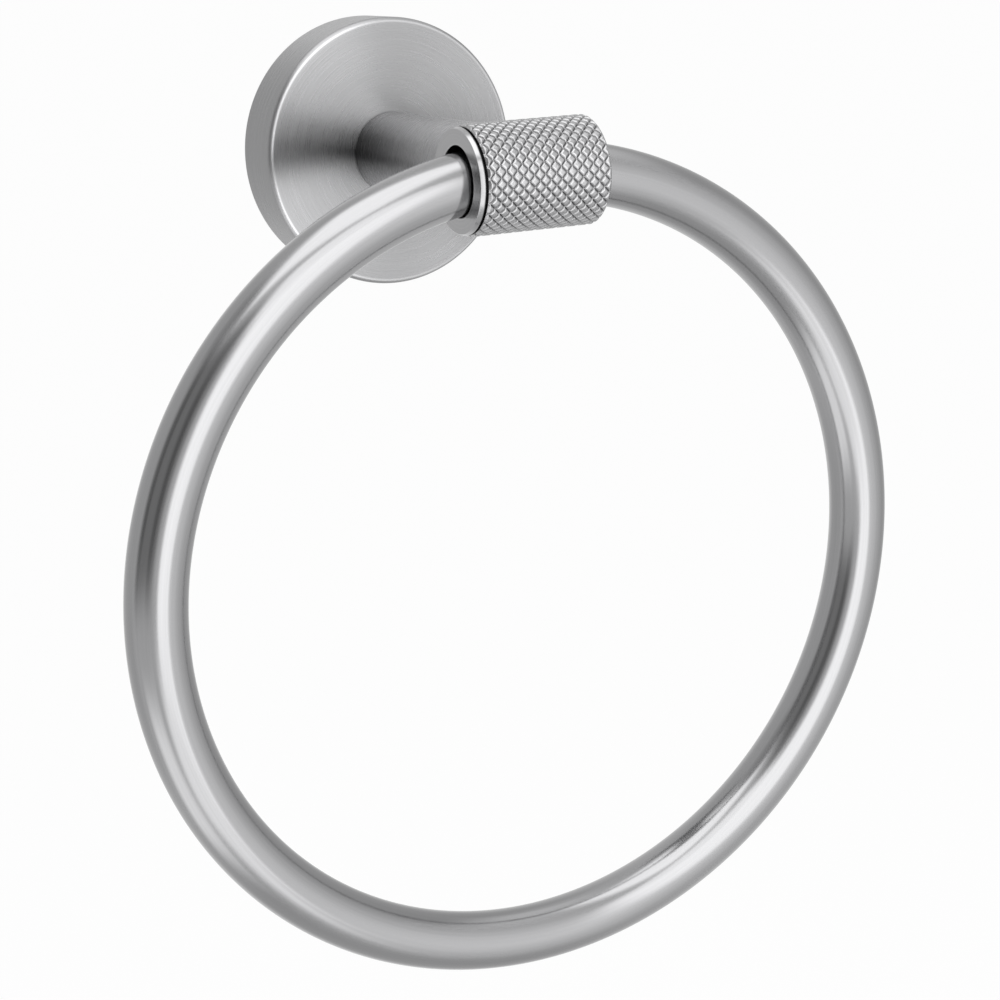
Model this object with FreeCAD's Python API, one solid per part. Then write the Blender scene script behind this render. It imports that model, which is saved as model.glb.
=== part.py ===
import FreeCAD, Part
import math
import os

# A wall-mounted towel ring. A round rose hides a bracket on the wall, a round post
# stands out of the rose, and a knurled sleeve lies across the post's end. A large ring
# of round tube passes through the sleeve's liner, hangs from it and swings in it.
# The origin is on the wall, on the post's axis. The wall is the plane Y = 0, the room
# is on the side of -Y, and +Z is up.

# Ring, in millimetres
ring_radius = 80.0
tube_diameter = 12.0
tube_wall = 1.0
ring_joint_gap = 0.3
joint_pin_length = 20.0
joint_pin_clearance = 0.03

# Sleeve across the post's end
stand_off = 74.5
sleeve_length = 26.45
sleeve_wall = 2.1
sleeve_chamfer = 0.7
knurl_pitch = 2.33
knurl_pitch_round = 2.4
knurl_depth = 0.62
knurl_flat_share = 0.52
post_seat_depth = 0.7

# Liner inside the sleeve
bore_clearance = 0.26
liner_wall = 1.8
liner_recess = 0.4
liner_fit = 0.02
liner_mouth_rounding = 0.35
flange_inset = 0.4
flange_thickness = 0.95
flange_bevel_length = 0.75
flange_bevel_height = 0.3
flange_rounding = 0.12
flange_gap = 0.6
shoulder_height = 0.6

# Post
post_inset = 1.9
post_end_chamfer = 0.3
post_seat_clearance = 0.05

# Rose
rose_diameter = 57.4
rose_thickness = 14.5
rose_side_wall = 3.0
rose_front_wall = 6.0
rose_edge_rounding = 1.2
rose_back_chamfer = 0.3

# Wall bracket
bracket_thickness = 6.0
bracket_clearance = 0.3
bracket_edge_rounding = 0.4
bracket_floor = 1.5
wall_hole_inset = 8.4
wall_hole_diameter = 5.2
countersink_diameter = 10.0
countersink_depth = 2.4
rim_groove_depth = 0.8
head_pocket_clearance = 2.5

# Fasteners
thread_clearance = 0.05
post_screw_diameter = 6.0
post_screw_reach = 12.0
post_screw_head_diameter = 10.0
post_screw_head_height = 4.0
post_screw_socket = 4.0
post_screw_socket_depth = 2.2
washer_diameter = 10.6
washer_thickness = 1.2
washer_slit = 1.0
locating_pin_diameter = 2.5
locating_pin_length = 8.0
locating_pin_in_rose = 4.0
stud_diameter = 6.0
stud_length = 12.0
stud_end_clearance = 0.3
hole_end_clearance = 1.0
set_screw_diameter = 4.0
set_screw_recess = 0.5
set_screw_socket = 2.0
set_screw_socket_depth = 1.3
set_screw_tip_radius = 0.15

# Ring and sleeve, from the sizes above
tube_radius = tube_diameter / 2
tube_bore_radius = tube_radius - tube_wall
joint_pin_radius = tube_bore_radius - joint_pin_clearance
inner_radius = ring_radius - tube_radius
head_length = flange_thickness + flange_gap + sleeve_length
left_end = -head_length / 2
right_end = head_length / 2
sleeve_left = left_end + flange_thickness + flange_gap
liner_right = right_end - liner_recess

# The tube is curved, so it comes near the straight bore below at the bore's two ends and
# above in its middle. The bore is wider than the tube by that curve and a clearance.
mouth_rise = math.sqrt(inner_radius ** 2 - (head_length / 2) ** 2)
bore_radius = tube_radius + (inner_radius - mouth_rise + bore_clearance) / 2
liner_radius = bore_radius + liner_wall
shoulder_radius = liner_radius + shoulder_height
sleeve_radius = liner_radius + sleeve_wall
flange_radius = sleeve_radius - flange_inset
seat_radius = sleeve_radius - post_seat_depth
knurl_root_radius = sleeve_radius - knurl_depth
knurl_starts = round(2 * math.pi * sleeve_radius / knurl_pitch_round)
ring_centre_z = -(ring_radius + tube_radius + mouth_rise) / 2

# Post, rose and bracket, from the sizes above
post_radius = sleeve_radius - post_inset
rose_radius = rose_diameter / 2
recess_radius = rose_radius - rose_side_wall
recess_depth = rose_thickness - rose_front_wall
bracket_radius = recess_radius - bracket_clearance
wall_hole_place = bracket_radius - wall_hole_inset
groove_middle = bracket_thickness / 2
head_pocket_radius = post_screw_head_diameter / 2 + head_pocket_clearance
screw_hole_radius = post_screw_diameter / 2 + thread_clearance
stud_hole_radius = stud_diameter / 2 + thread_clearance
set_screw_radius = set_screw_diameter / 2
locating_pin_place = (screw_hole_radius + post_radius - post_end_chamfer) / 2

SIDE = FreeCAD.Vector(1, 0, 0)
OUT = FreeCAD.Vector(0, -1, 0)
UP = FreeCAD.Vector(0, 0, 1)
WALL = FreeCAD.Vector(0, 0, 0)
SLEEVE_MIDDLE = FreeCAD.Vector(0, -stand_off, 0)
RING_CENTRE = FreeCAD.Vector(0, -stand_off, ring_centre_z)


def rod(radius, start, direction, length):
    """A round bar from a point, along a direction."""
    return Part.makeCylinder(radius, length, start, direction)


def rounded_outline(corners, start, along, outward):
    """A closed wire through corners given as (distance along, radius, rounding).

    A corner with a rounding gets an arc tangent to its two sides."""
    places = [start + along * c[0] + outward * c[1] for c in corners]
    count = len(places)
    ends = []
    edges = []
    for i, corner in enumerate(places):
        rounding = corners[i][2]
        before = (places[i - 1] - corner).normalize()
        after = (places[(i + 1) % count] - corner).normalize()
        half_angle = before.getAngle(after) / 2
        reach = rounding / math.tan(half_angle) if rounding else 0
        arc_start = corner + before * reach
        arc_end = corner + after * reach
        ends.append((arc_start, arc_end))
        if rounding:
            inward = (before + after).normalize()
            to_arc = rounding / math.sin(half_angle) - rounding
            edges.append(Part.Arc(arc_start, corner + inward * to_arc, arc_end).toShape())
    for i in range(count):
        leave = ends[i][1]
        reach_next = ends[(i + 1) % count][0]
        if leave.distanceToPoint(reach_next) > 1e-6:
            edges.append(Part.LineSegment(leave, reach_next).toShape())
    return Part.Wire(Part.__sortEdges__(edges))


def turned(corners, start, along, outward):
    """A part as a lathe makes it: the outline turned once round its axis."""
    outline = rounded_outline(corners, start, along, outward)
    return Part.Face(outline).revolve(start, along, 360)


def hexagon_bar(across_flats, start, direction, length, first_corner):
    """A six-sided bar, for the socket in a screw."""
    corner_radius = across_flats / math.sqrt(3)
    points = []
    for i in range(7):
        turn = FreeCAD.Rotation(direction, 60 * (i % 6))
        points.append(start + turn.multVec(first_corner) * corner_radius)
    return Part.Face(Part.makePolygon(points)).extrude(direction * length)


def save(name, shape):
    """Write one piece to its own file."""
    shape.exportStep("parts/" + name + ".step")


# Wall side

def wall_bracket():
    """A thick round plate with two screw holes and a groove round its rim."""
    plate = turned(
        [
            (0, 0, 0),
            (0, bracket_radius, 0),
            (groove_middle - rim_groove_depth, bracket_radius, 0),
            (groove_middle, bracket_radius - rim_groove_depth, 0),
            (groove_middle + rim_groove_depth, bracket_radius, 0),
            (bracket_thickness, bracket_radius, bracket_edge_rounding),
            (bracket_thickness, head_pocket_radius, 0),
            (bracket_floor, head_pocket_radius, 0),
            (bracket_floor, 0, 0),
        ],
        WALL,
        OUT,
        SIDE,
    )
    hole_radius = wall_hole_diameter / 2
    sink_start = bracket_thickness - countersink_depth
    for side in (-1, 1):
        foot = WALL + SIDE * side * wall_hole_place
        plate = plate.cut(rod(hole_radius, foot, OUT, bracket_thickness))
        sink = Part.makeCone(
            hole_radius,
            countersink_diameter / 2,
            countersink_depth,
            foot + OUT * sink_start,
            OUT,
        )
        plate = plate.cut(sink)
    return plate


def rose():
    """The turned cover, with its recess behind and its set screw hole below."""
    cover = turned(
        [
            (0, recess_radius, 0),
            (0, rose_radius - rose_back_chamfer, 0),
            (rose_back_chamfer, rose_radius, 0),
            (rose_thickness, rose_radius, rose_edge_rounding),
            (rose_thickness, screw_hole_radius, 0),
            (recess_depth, screw_hole_radius, 0),
            (recess_depth, recess_radius, 0),
        ],
        WALL,
        OUT,
        SIDE,
    )
    hole_start = WALL + OUT * groove_middle - UP * (rose_radius + 1)
    hole = rod(set_screw_radius + thread_clearance, hole_start, UP, rose_side_wall + 2)
    pin_start = WALL + OUT * (rose_thickness - locating_pin_in_rose) + UP * locating_pin_place
    pin_hole = rod(locating_pin_diameter / 2, pin_start, OUT, locating_pin_in_rose)
    return cover.cut(hole).cut(pin_hole)


def rose_set_screw():
    """A pointed grub screw that grips the groove in the bracket's rim."""
    tip = bracket_radius - rim_groove_depth + thread_clearance
    foot = rose_radius - set_screw_recess
    cone_start = tip + set_screw_radius
    place = WALL + OUT * groove_middle
    screw = turned(
        [
            (tip + set_screw_tip_radius, 0, 0),
            (tip + set_screw_tip_radius, set_screw_tip_radius, 0),
            (cone_start, set_screw_radius, 0),
            (foot, set_screw_radius, 0),
            (foot, 0, 0),
        ],
        place,
        -UP,
        SIDE,
    )
    socket = hexagon_bar(set_screw_socket, place - UP * foot, UP, set_screw_socket_depth, SIDE)
    return screw.cut(socket)


def post_screw():
    """A socket screw from the rose's recess into the post."""
    seat = WALL + OUT * (recess_depth - washer_thickness)
    shank = rod(
        post_screw_diameter / 2,
        seat,
        OUT,
        washer_thickness + rose_front_wall + post_screw_reach,
    )
    head = rod(post_screw_head_diameter / 2, seat, -OUT, post_screw_head_height)
    top = seat - OUT * post_screw_head_height
    socket = hexagon_bar(post_screw_socket, top, OUT, post_screw_socket_depth, SIDE)
    return head.fuse(shank).removeSplitter().cut(socket)


def post_lock_washer():
    """A flat spring washer with a slit, under the post screw's head."""
    seat = WALL + OUT * (recess_depth - washer_thickness)
    disc = rod(washer_diameter / 2, seat, OUT, washer_thickness)
    disc = disc.cut(rod(screw_hole_radius, seat, OUT, washer_thickness))
    slit = Part.makeBox(
        washer_slit,
        washer_thickness,
        washer_diameter,
        FreeCAD.Vector(-washer_slit / 2, -recess_depth, 0),
    )
    return disc.cut(slit)


def post_locating_pin():
    """A plain pin beside the post screw, half in the rose and half in the post."""
    start = WALL + OUT * (rose_thickness - locating_pin_in_rose) + UP * locating_pin_place
    return rod(locating_pin_diameter / 2, start, OUT, locating_pin_length)


def post():
    """The round post, hollowed at its far end to sit on the sleeve."""
    bar = turned(
        [
            (rose_thickness, 0, 0),
            (rose_thickness, post_radius - post_end_chamfer, 0),
            (rose_thickness + post_end_chamfer, post_radius, 0),
            (stand_off, post_radius, 0),
            (stand_off, 0, 0),
        ],
        WALL,
        OUT,
        SIDE,
    )
    saddle = rod(seat_radius, SLEEVE_MIDDLE - SIDE * 2 * post_radius, SIDE, 4 * post_radius)
    screw_hole = rod(
        screw_hole_radius,
        WALL + OUT * rose_thickness,
        OUT,
        post_screw_reach + hole_end_clearance,
    )
    pin_hole = rod(
        locating_pin_diameter / 2,
        WALL + OUT * rose_thickness + UP * locating_pin_place,
        OUT,
        locating_pin_length - locating_pin_in_rose,
    )
    stud_hole_end = stud_length + stud_end_clearance + bore_radius + hole_end_clearance
    stud_hole = rod(stud_hole_radius, SLEEVE_MIDDLE, -OUT, stud_hole_end)
    return bar.cut(saddle).cut(screw_hole).cut(pin_hole).cut(stud_hole)


# Sleeve

def knurl_point(step_round, step_along, share_round, share_along, radius):
    """A point of the knurl's net, from its steps round and along the sleeve."""
    angle = (step_round + share_round) * math.pi / knurl_starts
    along = (step_along + share_along) * knurl_pitch / 2
    return FreeCAD.Vector(along, radius * math.cos(angle), radius * math.sin(angle))


def flat_share_along():
    """Half length of a diamond's flat top, so that each sloping side is one plane.

    The plane goes through two neighbouring crossings of the grooves and the side corner
    of the flat. Where it meets the crest on the diamond's middle line is the end corner."""
    end = knurl_point(0, 0, 0, 1, knurl_root_radius)
    side = knurl_point(0, 0, 1, 0, knurl_root_radius)
    flat_side = knurl_point(0, 0, knurl_flat_share, 0, sleeve_radius)
    normal = (side - end).cross(flat_side - end)
    rise = normal.dot(FreeCAD.Vector(0, sleeve_radius, 0) - end)
    return -rise / normal.x / (knurl_pitch / 2)


def knurl_diamond(step_round, step_along, flat_along):
    """The six flat faces of one diamond: four sloping sides and a top folded once."""
    def corner(share_round, share_along, radius):
        return knurl_point(step_round, step_along, share_round, share_along, radius)

    turns = [(1, 0), (0, 1), (-1, 0), (0, -1)]
    roots = [corner(a, b, knurl_root_radius) for a, b in turns]
    tops = [corner(a * knurl_flat_share, b * flat_along, sleeve_radius) for a, b in turns]
    rings = []
    for i in range(4):
        j = (i + 1) % 4
        rings.append([roots[i], roots[j], tops[j], tops[i]])
    rings.append([tops[1], tops[2], tops[3]])
    rings.append([tops[3], tops[0], tops[1]])
    return [Part.Face(Part.makePolygon(ring + ring[:1])) for ring in rings]


def knurled_bar(length):
    """A solid bar about X, knurled all over, a little longer than asked for.

    Two sets of grooves cross: one turns to the right and one to the left. Counted in
    half pitches, they cross where the steps round and along add up to an even number,
    and a diamond stands where they add up to an odd one."""
    flat_along = flat_share_along()
    reach = math.ceil(length / knurl_pitch) + 1
    faces = []
    for step_along in range(-reach, reach + 1):
        for step_round in range(2 * knurl_starts):
            if (step_round + step_along) % 2:
                faces.extend(knurl_diamond(step_round, step_along, flat_along))
    for end in (-1, 1):
        centre = FreeCAD.Vector(end * reach * knurl_pitch / 2, 0, 0)
        for step_round in range(2 * knurl_starts):
            if (step_round + reach) % 2:
                tip = knurl_point(step_round, end * reach, 0, end, knurl_root_radius)
                for side in (-1, 1):
                    foot = knurl_point(step_round, end * reach, side, 0, knurl_root_radius)
                    faces.append(Part.Face(Part.makePolygon([centre, tip, foot, centre])))
    skin = Part.makeCompound(faces)
    skin.sewShape(1e-5)
    bar = Part.Solid(skin.Shells[0])
    if bar.Volume < 0:
        bar.reverse()
    return bar


def post_seat_cutter():
    """What the post's end takes out of the knurl, down to a smooth round seat."""
    bar = rod(post_radius + post_seat_clearance, SLEEVE_MIDDLE, -OUT, 2 * sleeve_radius)
    core = rod(seat_radius, SLEEVE_MIDDLE - SIDE * 2 * post_radius, SIDE, 4 * post_radius)
    return bar.cut(core)


def knurled_sleeve():
    """The knurled tube, with its chamfered ends and the seat for the post."""
    spare = 0.3
    blank_radius = sleeve_radius + spare
    end_radius = sleeve_radius - sleeve_chamfer
    slope = sleeve_chamfer + spare
    middle = (sleeve_left + right_end) / 2
    blank = turned(
        [
            (sleeve_left, liner_radius + liner_fit, 0),
            (sleeve_left, end_radius, 0),
            (sleeve_left + slope, blank_radius, 0),
            (right_end - slope, blank_radius, 0),
            (right_end, end_radius, 0),
            (right_end, liner_radius + liner_fit, 0),
        ],
        SLEEVE_MIDDLE,
        SIDE,
        UP,
    )
    bar = knurled_bar(sleeve_length)
    bar.translate(SLEEVE_MIDDLE + SIDE * middle)
    sleeve = bar.common(blank)
    sleeve = sleeve.cut(post_seat_cutter())
    sleeve = sleeve.cut(rod(stud_hole_radius, SLEEVE_MIDDLE, -OUT, 2 * sleeve_radius))
    # Tips of diamonds that the cutter leaves with nothing under them fall away.
    return max(sleeve.Solids, key=lambda solid: solid.Volume)


def flanged_liner():
    """The smooth tube inside the sleeve, with a bevelled flange at its left mouth."""
    liner = turned(
        [
            (left_end, bore_radius, liner_mouth_rounding),
            (left_end, flange_radius - flange_bevel_height, flange_rounding),
            (left_end + flange_bevel_length, flange_radius, flange_rounding),
            (left_end + flange_thickness, flange_radius, 0),
            (left_end + flange_thickness, shoulder_radius, 0),
            (sleeve_left, shoulder_radius, 0),
            (sleeve_left, liner_radius, 0),
            (liner_right, liner_radius, 0),
            (liner_right, bore_radius, liner_mouth_rounding),
        ],
        SLEEVE_MIDDLE,
        SIDE,
        UP,
    )
    return liner.cut(rod(stud_hole_radius, SLEEVE_MIDDLE, -OUT, 2 * sleeve_radius))


def sleeve_stud():
    """The stud that ties the liner and the sleeve to the post's end."""
    start = SLEEVE_MIDDLE - OUT * (bore_radius + stud_end_clearance)
    return rod(stud_diameter / 2, start, -OUT, stud_length)


# Ring

def swept_round(profile, half_gap_angle, sweep_angle):
    """A section at the ring's top, turned aside and carried round the ring."""
    start = profile.copy()
    start.rotate(RING_CENTRE, OUT, half_gap_angle)
    return start.revolve(RING_CENTRE, OUT, sweep_angle)


def round_wire(radius):
    """The edge of a round section at the ring's top."""
    top = RING_CENTRE + UP * ring_radius
    return Part.Wire(Part.makeCircle(radius, top, SIDE))


def ring_tube():
    """Tube bent to a full circle, with its two ends nearly touching at the top."""
    gap_angle = math.degrees(ring_joint_gap / ring_radius)
    section = Part.Face([round_wire(tube_radius), round_wire(tube_bore_radius)])
    return swept_round(section, gap_angle / 2, 360 - gap_angle)


def ring_joint_pin():
    """A short curved bar that fills both ends of the tube and joins them."""
    pin_angle = math.degrees(joint_pin_length / ring_radius)
    section = Part.Face(round_wire(joint_pin_radius))
    return swept_round(section, -pin_angle / 2, pin_angle)


os.makedirs("parts", exist_ok=True)
save("wall_bracket", wall_bracket())
save("rose", rose())
save("rose_set_screw", rose_set_screw())
save("post_screw", post_screw())
save("post_lock_washer", post_lock_washer())
save("post_locating_pin", post_locating_pin())
save("post", post())
save("knurled_sleeve", knurled_sleeve())
save("flanged_liner", flanged_liner())
save("sleeve_stud", sleeve_stud())
save("ring_tube", ring_tube())
save("ring_joint_pin", ring_joint_pin())
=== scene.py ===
import math

import bmesh
import bpy
import numpy as np
from bpy.props import FloatProperty, FloatVectorProperty, IntProperty, PointerProperty
from mathutils import Euler, Matrix, Vector


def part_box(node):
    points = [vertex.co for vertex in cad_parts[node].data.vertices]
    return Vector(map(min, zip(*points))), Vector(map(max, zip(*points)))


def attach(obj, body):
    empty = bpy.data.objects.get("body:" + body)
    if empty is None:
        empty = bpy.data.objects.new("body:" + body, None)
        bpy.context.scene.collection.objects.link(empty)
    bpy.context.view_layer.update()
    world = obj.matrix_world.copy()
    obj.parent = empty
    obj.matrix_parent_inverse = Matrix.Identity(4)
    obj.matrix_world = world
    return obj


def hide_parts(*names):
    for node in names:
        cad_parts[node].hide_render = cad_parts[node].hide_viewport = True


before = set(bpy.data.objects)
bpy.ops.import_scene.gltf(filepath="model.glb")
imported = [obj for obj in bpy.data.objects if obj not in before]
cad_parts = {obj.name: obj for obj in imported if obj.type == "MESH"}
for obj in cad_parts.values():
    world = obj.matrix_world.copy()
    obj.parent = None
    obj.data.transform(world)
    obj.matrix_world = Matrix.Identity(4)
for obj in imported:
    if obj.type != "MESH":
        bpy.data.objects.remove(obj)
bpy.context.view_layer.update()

bl_info = {
    "name": "Towel ring",
    "version": (1, 0, 0),
    "blender": (4, 5, 0),
    "location": "3D View > Sidebar > Towel ring",
    "description": "Dresses the packed towel ring: rose, post, knurled sleeve, liner and ring",
    "category": "Object",
}

MM = 0.001
SAME_PLACE = 0.01 * MM  # two places closer than this count as one
PANEL_CENTRE = (0.0, -0.06, -0.06)

# Places and sizes that follow from the frame, in metres
RING_LOW, RING_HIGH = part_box("ring_tube")
SLEEVE_LOW, SLEEVE_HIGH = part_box("knurled_sleeve")
LINER_LOW, LINER_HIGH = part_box("flanged_liner")
POST_LOW, POST_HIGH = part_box("post")
ROSE_LOW, ROSE_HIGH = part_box("rose")
SET_SCREW_LOW, SET_SCREW_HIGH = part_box("rose_set_screw")

RING_CENTRE = (RING_LOW + RING_HIGH) / 2
TUBE_RADIUS = (RING_HIGH.y - RING_LOW.y) / 2
RING_RADIUS = (RING_HIGH.x - RING_LOW.x) / 2 - TUBE_RADIUS
SLEEVE_RADIUS = (SLEEVE_HIGH.z - SLEEVE_LOW.z) / 2
SLEEVE_AXIS = Vector((0, RING_CENTRE.y, 0))
STAND_OFF = -RING_CENTRE.y
FLANGE_RADIUS = (LINER_HIGH.z - LINER_LOW.z) / 2
POST_RADIUS = (POST_HIGH.x - POST_LOW.x) / 2
ROSE_RADIUS = (ROSE_HIGH.x - ROSE_LOW.x) / 2
ROSE_THICKNESS = ROSE_HIGH.y - ROSE_LOW.y


def linear(hex_colour):
    """A colour written as sRGB hex, as the linear values that Blender's nodes use."""
    parts = [int(hex_colour[i:i + 2], 16) / 255 for i in (1, 3, 5)]
    return tuple(p / 12.92 if p <= 0.04045 else ((p + 0.055) / 1.055) ** 2.4 for p in parts)


class TowelRingSizes(bpy.types.PropertyGroup):
    """Sizes of the detailed pieces that the frame's boxes don't give."""

    tube_wall: FloatProperty(
        name="Tube wall", description="Wall of the ring's tube",
        default=1.0 * MM, unit="LENGTH",
    )
    joint_gap: FloatProperty(
        name="Joint gap", description="Gap between the tube's two ends, inside the liner",
        default=0.3 * MM, unit="LENGTH",
    )
    screw_hole: FloatProperty(
        name="Screw hole", description="Radius of the holes for the post's screw and the stud",
        default=3.05 * MM, unit="LENGTH",
    )
    screw_hole_depth: FloatProperty(
        name="Screw hole depth", description="Depth of the screw's hole in the post",
        default=13.0 * MM, unit="LENGTH",
    )
    stud_hole_reach: FloatProperty(
        name="Stud hole", description="From the sleeve's axis to the bottom of the stud's hole",
        default=20.4 * MM, unit="LENGTH",
    )
    back_chamfer: FloatProperty(
        name="Back chamfer", description="Chamfer of the rose's back edge and the post's end",
        default=0.3 * MM, unit="LENGTH",
    )
    seat_depth: FloatProperty(
        name="Seat depth", description="How far the post's hollow end goes into the knurl",
        default=0.7 * MM, unit="LENGTH",
    )
    seat_clearance: FloatProperty(
        name="Seat clearance", description="Gap between the post's end and its seat",
        default=0.02 * MM, unit="LENGTH",
    )
    liner_bore: FloatProperty(
        name="Liner bore", description="Inside diameter of the liner",
        default=13.596 * MM, unit="LENGTH",
    )
    liner_wall: FloatProperty(
        name="Liner wall", description="Wall of the liner inside the sleeve",
        default=1.8 * MM, unit="LENGTH",
    )
    liner_fit: FloatProperty(
        name="Liner fit", description="Gap between the liner and the sleeve's bore",
        default=0.02 * MM, unit="LENGTH",
    )
    liner_mouth_rounding: FloatProperty(
        name="Liner mouth", description="Rounding of the liner's mouths",
        default=0.35 * MM, unit="LENGTH",
    )
    shoulder_height: FloatProperty(
        name="Shoulder", description="Height of the shoulder between the flange and the sleeve",
        default=0.6 * MM, unit="LENGTH",
    )
    flange_thickness: FloatProperty(
        name="Flange thickness", description="Thickness of the liner's flange",
        default=0.95 * MM, unit="LENGTH",
    )
    flange_bevel_length: FloatProperty(
        name="Flange bevel length", description="Length of the flange's bevel along the axis",
        default=0.75 * MM, unit="LENGTH",
    )
    flange_bevel_height: FloatProperty(
        name="Flange bevel height", description="How much the bevel takes off the radius",
        default=0.3 * MM, unit="LENGTH",
    )
    flange_rounding: FloatProperty(
        name="Flange rounding", description="Rounding of the bevel's two edges",
        default=0.12 * MM, unit="LENGTH",
    )
    knurl_starts: IntProperty(
        name="Knurl starts", description="Grooves of each hand round the sleeve",
        default=28,
    )
    knurl_pitch: FloatProperty(
        name="Knurl pitch", description="Length of one diamond along the sleeve",
        default=2.33 * MM, unit="LENGTH",
    )
    knurl_depth: FloatProperty(
        name="Knurl depth", description="Height of the diamonds above the grooves",
        default=0.42 * MM, unit="LENGTH",
    )
    knurl_wall_share: FloatProperty(
        name="Knurl wall", description="Share of a diamond's width in a groove's steep wall",
        default=1 / 12, subtype="FACTOR",
    )
    knurl_wall_rise: FloatProperty(
        name="Knurl wall rise", description="Share of the depth that the steep wall takes",
        default=0.6, subtype="FACTOR",
    )
    knurl_slope_share: FloatProperty(
        name="Knurl slope", description="Share of a diamond's width that slopes, at each side",
        default=3 / 12, subtype="FACTOR",
    )
    knurl_crown_share: FloatProperty(
        name="Knurl crown", description="Share of the diamonds' height that is their dome",
        default=0.04, subtype="FACTOR",
    )
    sleeve_chamfer: FloatProperty(
        name="Sleeve chamfer", description="Chamfer at the sleeve's ends",
        default=0.45 * MM, unit="LENGTH",
    )
    rose_side_wall: FloatProperty(
        name="Rose side wall", description="Wall of the rose round its recess",
        default=3.0 * MM, unit="LENGTH",
    )
    rose_front_wall: FloatProperty(
        name="Rose front wall", description="Wall between the rose's recess and its face",
        default=6.0 * MM, unit="LENGTH",
    )
    rose_rounding: FloatProperty(
        name="Rose edge", description="Rounding of the rose's front edge",
        default=1.2 * MM, unit="LENGTH",
    )


class TowelRingFinish(bpy.types.PropertyGroup):
    """Colours and brush marks of the steel."""

    steel: FloatVectorProperty(
        name="Steel", description="Colour of the brushed stainless steel",
        default=linear("#989899"), subtype="COLOR", size=3, min=0, max=1,
    )
    worn_steel: FloatVectorProperty(
        name="Worn steel", description="Paler colour of rubbed edges and crests",
        default=linear("#A6A6A7"), subtype="COLOR", size=3, min=0, max=1,
    )
    # Painted shade: this darker steel colours the bottom of the knurl's grooves, where shade
    # falls
    painted_groove_shade: FloatVectorProperty(
        name="Groove steel", description="Darker colour at the bottom of the knurl's grooves",
        default=linear("#8A8A8B"), subtype="COLOR", size=3, min=0, max=1,
    )
    screw_steel: FloatVectorProperty(
        name="Screw steel", description="Colour of the plain fasteners and the bracket",
        default=linear("#8C8C8E"), subtype="COLOR", size=3, min=0, max=1,
    )
    brush_width: FloatProperty(
        name="Brush mark width", description="Spacing of the brush marks",
        default=0.16 * MM, unit="LENGTH",
    )
    brush_length: FloatProperty(
        name="Brush mark length", description="Usual length of one brush mark",
        default=30.0 * MM, unit="LENGTH",
    )


class TowelRingStage(bpy.types.PropertyGroup):
    """Camera, floor and light."""

    azimuth: FloatProperty(
        name="Azimuth", description="Camera's turn round the object, from straight ahead",
        default=math.radians(-26.790), subtype="ANGLE",
    )
    elevation: FloatProperty(
        name="Elevation", description="Camera's angle above the level",
        default=math.radians(15.222), subtype="ANGLE",
    )
    roll: FloatProperty(
        name="Roll", description="Camera's turn about its own line of sight",
        default=math.radians(-2.231), subtype="ANGLE",
    )
    distance: FloatProperty(
        name="Distance", description="From the camera to the point it looks at",
        default=506.13 * MM, unit="LENGTH",
    )
    target: FloatVectorProperty(
        name="Target", description="Point that the camera looks at",
        default=(30.13 * MM, 0, -86.41 * MM), subtype="XYZ", size=3,
    )
    lens: FloatProperty(
        name="Lens", description="Focal length of the camera in millimetres",
        default=75.862,
    )
    floor_drop: FloatProperty(
        name="Floor drop", description="Height of the ring's lowest point above the floor",
        default=1100.0 * MM, unit="LENGTH",
    )
    floor_colour: FloatVectorProperty(
        name="Floor", description="Colour of the floor",
        default=linear("#FAFAFA"), subtype="COLOR", size=3, min=0, max=1,
    )
    screen_strength: FloatProperty(
        name="Screen strength", description="Brightness of the tall soft light screen",
        default=2.75, min=0,
    )
    overhead_strength: FloatProperty(
        name="Overhead strength", description="Brightness of the soft light overhead",
        default=2.65, min=0,
    )


# Mesh code

def set_array(collection, name, values):
    """Write a whole array into one attribute of a mesh's elements."""
    collection.foreach_set(name, np.ascontiguousarray(values).ravel())


def facing_out(points, quads):
    """Whether the four-sided faces of a closed shape point outwards.

    Each face is two triangles. The signed volumes between the origin and all the
    triangles add up to more than nothing when the faces point outwards."""
    a, b, c, d = points[quads.T]
    return np.sum(a * (np.cross(b, c) + np.cross(c, d))) > 0


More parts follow.
